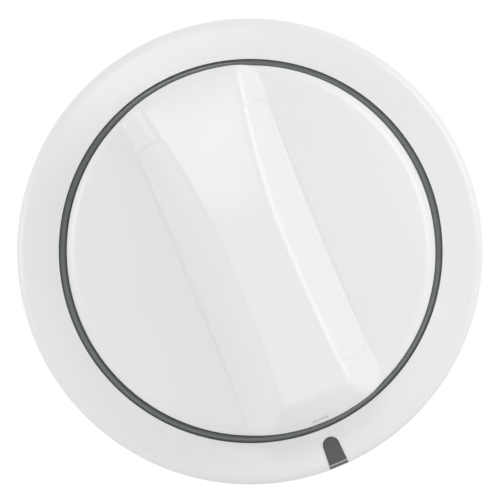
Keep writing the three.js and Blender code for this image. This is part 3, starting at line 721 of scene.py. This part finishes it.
def pointer_outline(grow, outer):
    half, flare = POINTER_HALF + grow, POINTER_FLARE + grow
    bend = arc(0, -(POINTER_INNER + POINTER_HALF), half, 0, 180, 20)
    return [(-flare, -outer), (flare, -outer), *bend]


def skirt_layer(low, high):
    return revolve([*skirt_top(high, 16), *reversed(skirt_top(low, 16))], 512)


def dial_skirt():
    top = skirt_top(0)
    inner_edge = top.pop()
    lip = 0.1
    profile = [
        (7.0, WEB_BACK), (30.7, WEB_BACK), (31.0, WEB_BACK + 0.3), (31.2, 6.8), (31.6, 7.0),
        (32.9, 6.8), (33.2, 6.5), (33.25, SKIRT_LOW.z + 0.3), (33.5, SKIRT_LOW.z),
        (SKIRT_RADIUS - 0.3, SKIRT_LOW.z), (SKIRT_RADIUS, SKIRT_LOW.z + 0.3),
        *top,
        (inner_edge[0] + lip, inner_edge[1] - 0.05),
        (inner_edge[0] + 0.3 * lip, inner_edge[1] - 0.3 * lip),
        (inner_edge[0], inner_edge[1] - lip - 0.05),
        (GROOVE_WALL, WEB_FRONT + 0.2), (GROOVE_WALL - 0.2, WEB_FRONT), (7.0, WEB_FRONT),
    ]
    body = revolve(profile, 360)
    recess = common(slab(pointer_outline(0.06, SKIRT_RADIUS + 1), 4, 12, 0), skirt_layer(-1.3, 3))
    return cut(body, recess)


def accent_ring():
    middle = (RING_OUTER + RING_INNER) / 2
    half = RING_OUTER - middle
    crown = [(middle + half * math.cos(math.radians(t)), RING_TOP - 0.4
              + 0.4 * math.sin(math.radians(t))) for t in range(0, 181, 9)]
    return revolve([*crown, (RING_INNER, RING_LOW.z), (RING_OUTER, RING_LOW.z)], 360)


def pointer_insert():
    body = common(slab(pointer_outline(0, POINTER_OUTER), 4, 12, 0), skirt_layer(-1.0, 0.1))
    return soften(body, 0.07, 2, 40)


# ------------------------------------------------------------------ knob: hub, screws and shaft

def screw_places():
    turns = [math.radians(30 + 120 * i) for i in range(3)]
    return [(HUB_SCREW_PLACE * math.cos(t), HUB_SCREW_PLACE * math.sin(t)) for t in turns]


def knob_hub():
    """The carrier: a flange behind the skirt and the stem that grips the shaft."""
    back, front = HUB_LOW.z, HUB_HIGH.z
    profile = [
        (0, back), (STEM_RADIUS, back), (STEM_RADIUS, HUB_BACK), (HUB_RADIUS, HUB_BACK),
        (HUB_RADIUS, HUB_FRONT), (STEM_RADIUS, HUB_FRONT, 0.4), (STEM_RADIUS, front), (0, front),
    ]
    body = revolve(rounded(profile, 0.2), 96)
    flat = math.degrees(math.asin(1.9 / SHAFT_HOLE))
    bore = slab(arc(0, 0, SHAFT_HOLE, 180 - flat, 360 + flat, 48), back - 1, front - 1.3, 0)
    holes = [cylinder(1.4, 3, 6, x, y, 0, 32) for x, y in screw_places()]
    return cut(body, bore, *holes)


def screw(x, y, head_back, head_front, tip, head_radius, shank_radius, turn=0.0):
    """A pan-head screw with its head to the back, a cross recess and a threaded shank."""
    crown = head_front - head_back
    dome = [(head_radius * math.sin(math.radians(t)),
             head_back + 0.45 * crown * (1 - math.cos(math.radians(t)))) for t in range(0, 91, 9)]
    profile = [*dome, (head_radius, head_front - 0.1), (head_radius - 0.1, head_front),
               (shank_radius, head_front)]
    pitch = 0.45
    threads = int((tip - head_front - 0.8) / pitch)
    for i in range(threads):
        z = head_front + 0.3 + i * pitch
        profile += [(shank_radius, z), (0.82 * shank_radius, z + pitch / 2)]
    profile += [(0.82 * shank_radius, tip - 0.4), (0.5 * shank_radius, tip), (0, tip)]
    body = revolve(profile, 40)
    arm = 0.58 * head_radius
    slots = []
    for spin in (0, 90):
        bar = box((-arm, -0.13 * head_radius, head_back - 1),
                  (arm, 0.13 * head_radius, head_back + 0.55 * crown))
        slots.append(turned_about_z(bar, spin + turn))
    return moved(cut(body, *slots), Matrix.Translation((x, y, 0)))


def shaft_profile():
    """The shaft's turned outline, with its two snap grooves and the two clip grooves."""
    tail, front = SHAFT_LOW.z, SHAFT_HIGH.z
    radius, neck = SHAFT_RADIUS, NECK_RADIUS
    profile = [(0, tail), (radius - 0.6, tail), (radius, tail + 0.6)]
    for z in (SNAP_PLACE - TRAVEL, SNAP_PLACE):
        profile += [(radius, z - 0.7), (neck, z - 0.3), (neck, z + 0.3), (radius, z + 0.7)]
    for node in ("carrier_clip_1", "carrier_clip_2"):
        low, high = span(node)
        back, ahead = low.z - 0.3, high.z + 0.3
        profile += [(radius, back), (neck, back), (neck, ahead), (radius, ahead)]
    profile += [(radius, front - 0.5), (radius - 0.5, front), (0, front)]
    return rounded(profile, 0.08, 2)


def control_shaft():
    body = revolve(shaft_profile(), 64)
    rotor_low, rotor_high = span("rotor")
    flats = [box((-4, s * 3.15 - 0.85, rotor_low.z - TRAVEL - GAP),
                 (4, s * 3.15 + 0.85, rotor_high.z + GAP)) for s in (-1, 1)]
    front = box((-4, 1.6, HUB_LOW.z - GAP), (4, 4, SHAFT_HIGH.z + 1))
    return cut(body, *flats, front)


def add_to_knob(name, mesh, look, node, angle=30):
    """A piece of the knob, turned with the pointer."""
    return add_piece(name, mesh, "knob", look, [node], KNOB_TO_WORLD, angle)


def build_knob():
    add_to_knob("cap_shell", grip_cap(), "white", "grip_cap", angle=40)
    add_to_knob("skirt_shell", dial_skirt(), "white", "dial_skirt")
    add_to_knob("ring_inlay", accent_ring(), "ring", "accent_ring", angle=50)
    add_to_knob("pointer_inlay", pointer_insert(), "pointer", "pointer_insert")
    add_to_knob("hub_carrier", knob_hub(), "hub", "knob_hub")
    for i, (x, y) in enumerate(screw_places()):
        node = f"knob_screw_{i + 1}"
        low, high = span(node)
        mesh = screw(x, y, low.z, HUB_LOW.z + 0.6, high.z, 2.35, 1.05, 17 * i)
        add_to_knob(f"hub_screw_{i + 1}", mesh, "steel", node)
    add_to_knob("shaft_bar", control_shaft(), "steel", "control_shaft")


# ------------------------------------------------------------------ switch body

def corner_places():
    return [(x * SCREW_PLACE, y * SCREW_PLACE) for x, y in ((1, 1), (-1, 1), (-1, -1), (1, -1))]


def corner_holes(back, front):
    return [cylinder(SCREW_HOLE, back, front, x, y) for x, y in corner_places()]


def mounting_plate():
    back, front = PLATE_LOW.z, PLATE_HIGH.z
    body = slab(rounded_box(PLATE_HALF, PLATE_HALF, 3), back, front, 0.12)
    ears = slab(rounded_box(EAR_HALF, 7, 5), back, front, 0.12)
    plate = join(body, ears)
    holes = [cylinder(COLLAR_RADIUS + GAP, back - 1, front + 1, steps=96)]
    holes += [cylinder(1.75, back - 1, front + 1, side * EAR_SCREW_PLACE) for side in (-1, 1)]
    holes += corner_holes(back - 1, front + 1)
    return cut(plate, *holes)


def shaft_bushing():
    profile = [
        (SHAFT_HOLE, BUSH_LOW.z), (COLLAR_RADIUS, BUSH_LOW.z), (COLLAR_RADIUS, -3.6),
        (FLANGE_RADIUS, -3.6), (FLANGE_RADIUS, -1.5), (COLLAR_RADIUS, -1.5),
        (COLLAR_RADIUS, BUSH_HIGH.z - 0.4), (COLLAR_RADIUS - 0.4, BUSH_HIGH.z),
        (SHAFT_HOLE, BUSH_HIGH.z),
    ]
    return revolve(rounded(profile, 0.12, 3), 96)


def front_housing():
    back, front = FRONT_LOW.z, FRONT_HIGH.z
    body = slab(rounded_box(BODY_HALF, BODY_HALF, BODY_CORNER), back, front, 0.35)
    cuts = [cylinder(FLANGE_RADIUS + GAP, -3.9, front + 1, steps=96),
            cylinder(COLLAR_RADIUS + GAP, -6, -3, steps=96),
            cylinder(11.0, back - 1, -5.5, steps=96)]
    cuts += corner_holes(back - 1, front + 1)
    # shallow sunk panels between moulded ribs on the four sides
    for spin in range(4):
        for centre in (-6.2, 6.2):
            panel = box((BODY_HALF - 0.5, centre - 4.6, back + 2.6),
                        (BODY_HALF + 1, centre + 4.6, front - 2.2))
            cuts.append(turned_about_z(panel, 90 * spin))
    return soften(cut(body, *cuts), 0.1, 2, 50)


def contact_wafer():
    back, front = WAFER_LOW.z, WAFER_HIGH.z
    body = slab(rounded_box(BODY_HALF, BODY_HALF, BODY_CORNER), back, front, 0.08, 2)
    floor = front - 1.2
    slot_half = BLADE_HALF + GAP
    cuts = [cylinder(6.1, floor, front + 1, steps=64), cylinder(SHAFT_HOLE, back - 1, front + 1)]
    for spin in range(4):
        slot = box((5.5, -slot_half, floor), (BODY_HALF + 1, slot_half, front + 1))
        cuts.append(turned_about_z(slot, 90 * spin))
    cuts += corner_holes(back - 1, front + 1)
    return cut(body, *cuts)


def rear_cover():
    back, front = COVER_LOW.z, COVER_HIGH.z
    half = 11.2
    slot_half = BLADE_HALF + GAP
    flange = slab(rounded_box(BODY_HALF, BODY_HALF, BODY_CORNER), -20, front, 0.3)
    body = slab(rounded_box(17, half, 1.5), back, front - 0.5, 0.4)
    room = box((-15, -9, -29.2), (15, 9, front + 1))
    cuts = [room, cylinder(SHAFT_HOLE, back - 1, INSIDE_COVER)]
    cuts += [box((s * 12.6 - 0.7, -slot_half, back - 1), (s * 12.6 + 0.7, slot_half, INSIDE_COVER))
             for s in (-1, 1)]
    # the recess behind that the hairpin spring lies in
    cuts.append(box((-4.9, -8.5, back - 1), (4.9, 10, -30.4)))
    cuts += corner_holes(-21, front + 1)
    # grooves on the two long sides
    for side in (-1, 1):
        for i in range(5):
            x = -10 + 5 * i
            cuts.append(box((x - 1.1, side * half - 0.35, back + 1.6),
                            (x + 1.1, side * half + 0.35, -21.5)))
    return soften(cut(join(flange, body), *cuts), 0.1, 2, 50)


def blade(inner, root, reach, half, back, front):
    """A strip along +x that ends in a spade blade with rolled edges and a latch hole."""
    strip = slab([(inner, -1.6), (inner + 2.5, -half), (root + 1, -half), (root + 1, half),
                  (inner + 2.5, half), (inner, 1.6)], back + 0.1, front - 0.1, 0)
    tip = slab([(root, -half), (reach - 1.2, -half), (reach, -half + 1.4), (reach, half - 1.4),
                (reach - 1.2, half), (root, half)], back, front, 0.16, 3)
    hole = cylinder(LATCH_RADIUS, back - 1, front + 1, reach - 4.0, 0, 0, 32)
    return cut(join(strip, tip), hole)


def selector_blade(index):
    node = "common_terminal" if index == 3 else f"selector_terminal_{index + 1}"
    low, high = span(node)
    mesh = blade(6.4, BODY_HALF + 0.5, 29.0, BLADE_HALF, low.z, high.z)
    if index == 3:
        ring = cut(cylinder(5.8, low.z + 0.1, high.z - 0.1), cylinder(4.0, low.z - 1, high.z + 1))
        mesh = join(mesh, box((5.0, -1.6, low.z + 0.1), (8.0, 1.6, high.z - 0.1)), ring)
    return turned_about_z(mesh, 90 * index)


def line_terminal(side):
    """An L-shaped strip: a pad over the bridge's tip, a leg along the wall and a blade behind."""
    low, high = span("line_terminal_1")
    outer, inner = high.x, high.x - 0.8
    blade_front = COVER_LOW.z - GAP
    outline = [
        (low.x, high.z - 0.8), (inner + 0.1, high.z - 0.8), (inner + 0.1, blade_front),
        (inner, blade_front), (inner, low.z + 0.6), (inner + 0.1, low.z), (outer - 0.1, low.z),
        (outer, low.z + 0.6), (outer, blade_front), (outer - 0.1, blade_front),
        (outer - 0.1, high.z - 0.4), (outer - 0.4, high.z), (low.x, high.z),
    ]
    mesh = slab(outline, -BLADE_HALF, BLADE_HALF, 0.0)
    mesh.transform(Matrix(((1, 0, 0, 0), (0, 0, 1, 0), (0, 1, 0, 0), (0, 0, 0, 1))))
    mesh.flip_normals()
    hole = cylinder(LATCH_RADIUS, inner - 1, outer + 1, 0, 0, 0, 32)
    hole.transform(Matrix(((0, 0, 1, 0), (1, 0, 0, 0), (0, 1, 0, low.z + 4.0), (0, 0, 0, 1))))
    mesh = soften(cut(mesh, hole), 0.05, 2, 50)
    return mesh if side > 0 else turned_about_z(mesh, 180)


def detent_hairpin():
    """The spring wire that snaps into the shaft's grooves."""
    low, high = span("pull_detent_clip")
    wire = (high.z - low.z) / 2
    half = high.x - wire
    z = (low.z + high.z) / 2
    top = 5.0
    bend = [(x, y + top, z) for x, y in arc(0, 0, half, 180, 0, 24)]
    legs = 20
    left = [(-half, low.y + 0.05 + (top - low.y) * i / legs, z) for i in range(legs)]
    right = [(half, top - (top - low.y - 0.05) * i / legs, z) for i in range(1, legs + 1)]
    return swept(left + bend + right, wire, 16)


def build_body():
    add_piece("plate_pressing", mounting_plate(), "base", "steel", ["mounting_plate"])
    add_piece("bushing_turned", shaft_bushing(), "base", "brass", ["shaft_bushing"])
    add_piece("front_moulding", front_housing(), "base", "housing", ["front_housing"])
    add_piece("wafer_board", contact_wafer(), "base", "wafer", ["contact_wafer"])
    add_piece("rear_moulding", rear_cover(), "base", "housing", ["rear_cover"])
    for i, (x, y) in enumerate(corner_places()):
        node = f"housing_screw_{i + 1}"
        low, high = span(node)
        mesh = screw(x, y, low.z, low.z + 1.7, high.z, 2.25, 1.2, 10 + 37 * i)
        add_piece(f"body_screw_{i + 1}", mesh, "base", "steel", [node])
    for i in range(3):
        node = f"selector_terminal_{i + 1}"
        add_piece(f"selector_blade_{i + 1}", selector_blade(i), "base", "tinned", [node])
    add_piece("common_blade", selector_blade(3), "base", "tinned", ["common_terminal"])
    for i, side in enumerate((1, -1)):
        node = f"line_terminal_{i + 1}"
        add_piece(f"line_blade_{i + 1}", line_terminal(side), "base", "tinned", [node])
    add_piece("detent_hairpin", detent_hairpin(), "base", "spring", ["pull_detent_clip"])


# ------------------------------------------------------------------ CAD nodes that stay

KEPT = {
    "hub_spring_clip": "spring",
    "carrier_clip_1": "spring",
    "carrier_clip_2": "spring",
    "rotor": "rotor",
    "rotor_wiper": "brass",
    "line_tip_1": "silver",
    "line_tip_2": "silver",
    "bridge_carrier": "rotor",
    "bridge_contact": "brass",
    "bridge_tip_1": "silver",
    "bridge_tip_2": "silver",
    "detent_ball_1": "steel",
    "detent_ball_2": "steel",
    "detent_spring_1": "spring",
    "detent_spring_2": "spring",
}


def dress_kept_nodes():
    for node, look in KEPT.items():
        data = frame["nodes"][node].data
        data.materials.clear()
        data.materials.append(MATERIALS[look])


# ------------------------------------------------------------------ camera, floor and light

CAMERA_DISTANCE = 0.75
CAMERA_TARGET = (-0.095, 0.08, 8)
CAMERA_ASIDE = math.radians(-2.6)
CAMERA_ABOVE = math.radians(-1.2)
SKIRT_SHARE = 0.932  # how much of the half frame the skirt's radius fills
FLOOR_BELOW = 0.06
FLOOR_HALF = 0.5


def make_camera():
    """Square on to the knob, a little to the left of its axis and below it."""
    data = bpy.data.cameras.new("camera")
    camera = bpy.data.objects.new("camera", data)
    bpy.context.scene.collection.objects.link(camera)
    target = world(*CAMERA_TARGET)
    back = Vector((math.sin(CAMERA_ASIDE), -1, math.tan(CAMERA_ABOVE))).normalized()
    camera.location = target + back * CAMERA_DISTANCE
    camera.rotation_mode = "QUATERNION"
    camera.rotation_quaternion = (-back).to_track_quat("-Z", "Y")
    half_view = SKIRT_RADIUS * MM / CAMERA_DISTANCE / SKIRT_SHARE
    data.sensor_width = 36
    data.lens = data.sensor_width / 2 / half_view
    bpy.context.scene.camera = camera


def make_floor():
    """A plain pale floor below the object, standing in for the studio's table."""
    low = cad_box[0].z - FLOOR_BELOW
    corners = ((-1, -1), (1, -1), (1, 1), (-1, 1))
    points = [(x * FLOOR_HALF, y * FLOOR_HALF, low) for x, y in corners]
    mesh = mesh_from(points, [(0, 1, 2, 3)], "floor")
    material, nodes, links, shader = new_material("floor")
    shader.inputs["Base Color"].default_value = (0.85, 0.85, 0.85, 1)
    shader.inputs["Roughness"].default_value = 0.9
    shader.inputs["Specular IOR Level"].default_value = 0.1
    mesh.materials.append(material)
    floor = bpy.data.objects.new("floor", mesh)
    bpy.context.scene.collection.objects.link(floor)


# each soft light's name, place, width, height and power in watts
LIGHTS = (
    ("key", (0.85, -0.45, 0.5), 0.5, 0.7, 3.3),
    ("top", (-0.17, -1.11, 0.46), 0.36, 0.3, 1.65),
    ("low", (0.1, -0.9, -0.2), 0.6, 0.4, 1.7),
    ("side", (-1.0, -0.15, 0.05), 0.5, 0.5, 1.9),
)
SKY_MEAN = 0.75
SKY_SLOPE = 0.29
SKY_BRIGHT_SIDE = Vector((0.05, 0.97, 0.24)).normalized()


def area_light(name, place, width, height, power):
    """A soft rectangular light that faces the object."""
    data = bpy.data.lights.new(name, "AREA")
    data.shape = "RECTANGLE"
    data.size, data.size_y = width, height
    data.energy = power
    light = bpy.data.objects.new(name, data)
    light.location = place
    light.rotation_mode = "QUATERNION"
    light.rotation_quaternion = (-Vector(place)).to_track_quat("-Z", "Y")
    bpy.context.scene.collection.objects.link(light)


def make_sky():
    """A pale studio all round, brighter behind the object than in front of it."""
    backdrop = bpy.data.worlds.new("studio")
    backdrop.use_nodes = True
    nodes, links = backdrop.node_tree.nodes, backdrop.node_tree.links
    place = nodes.new("ShaderNodeTexCoord")
    side = nodes.new("ShaderNodeVectorMath")
    side.operation = "DOT_PRODUCT"
    side.inputs[1].default_value = SKY_BRIGHT_SIDE
    level = nodes.new("ShaderNodeMath")
    level.operation = "MULTIPLY_ADD"
    level.inputs[1].default_value = SKY_SLOPE
    level.inputs[2].default_value = SKY_MEAN
    links.new(place.outputs["Generated"], side.inputs[0])
    links.new(side.outputs["Value"], level.inputs[0])
    links.new(level.outputs["Value"], nodes["Background"].inputs["Strength"])
    nodes["Background"].inputs["Color"].default_value = (1, 1, 1, 1)
    bpy.context.scene.world = backdrop


def make_light():
    bpy.context.scene.view_settings.view_transform = "Standard"
    make_sky()
    for light in LIGHTS:
        area_light(*light)


build_knob()
build_body()
dress_kept_nodes()
make_camera()
make_floor()
make_light()
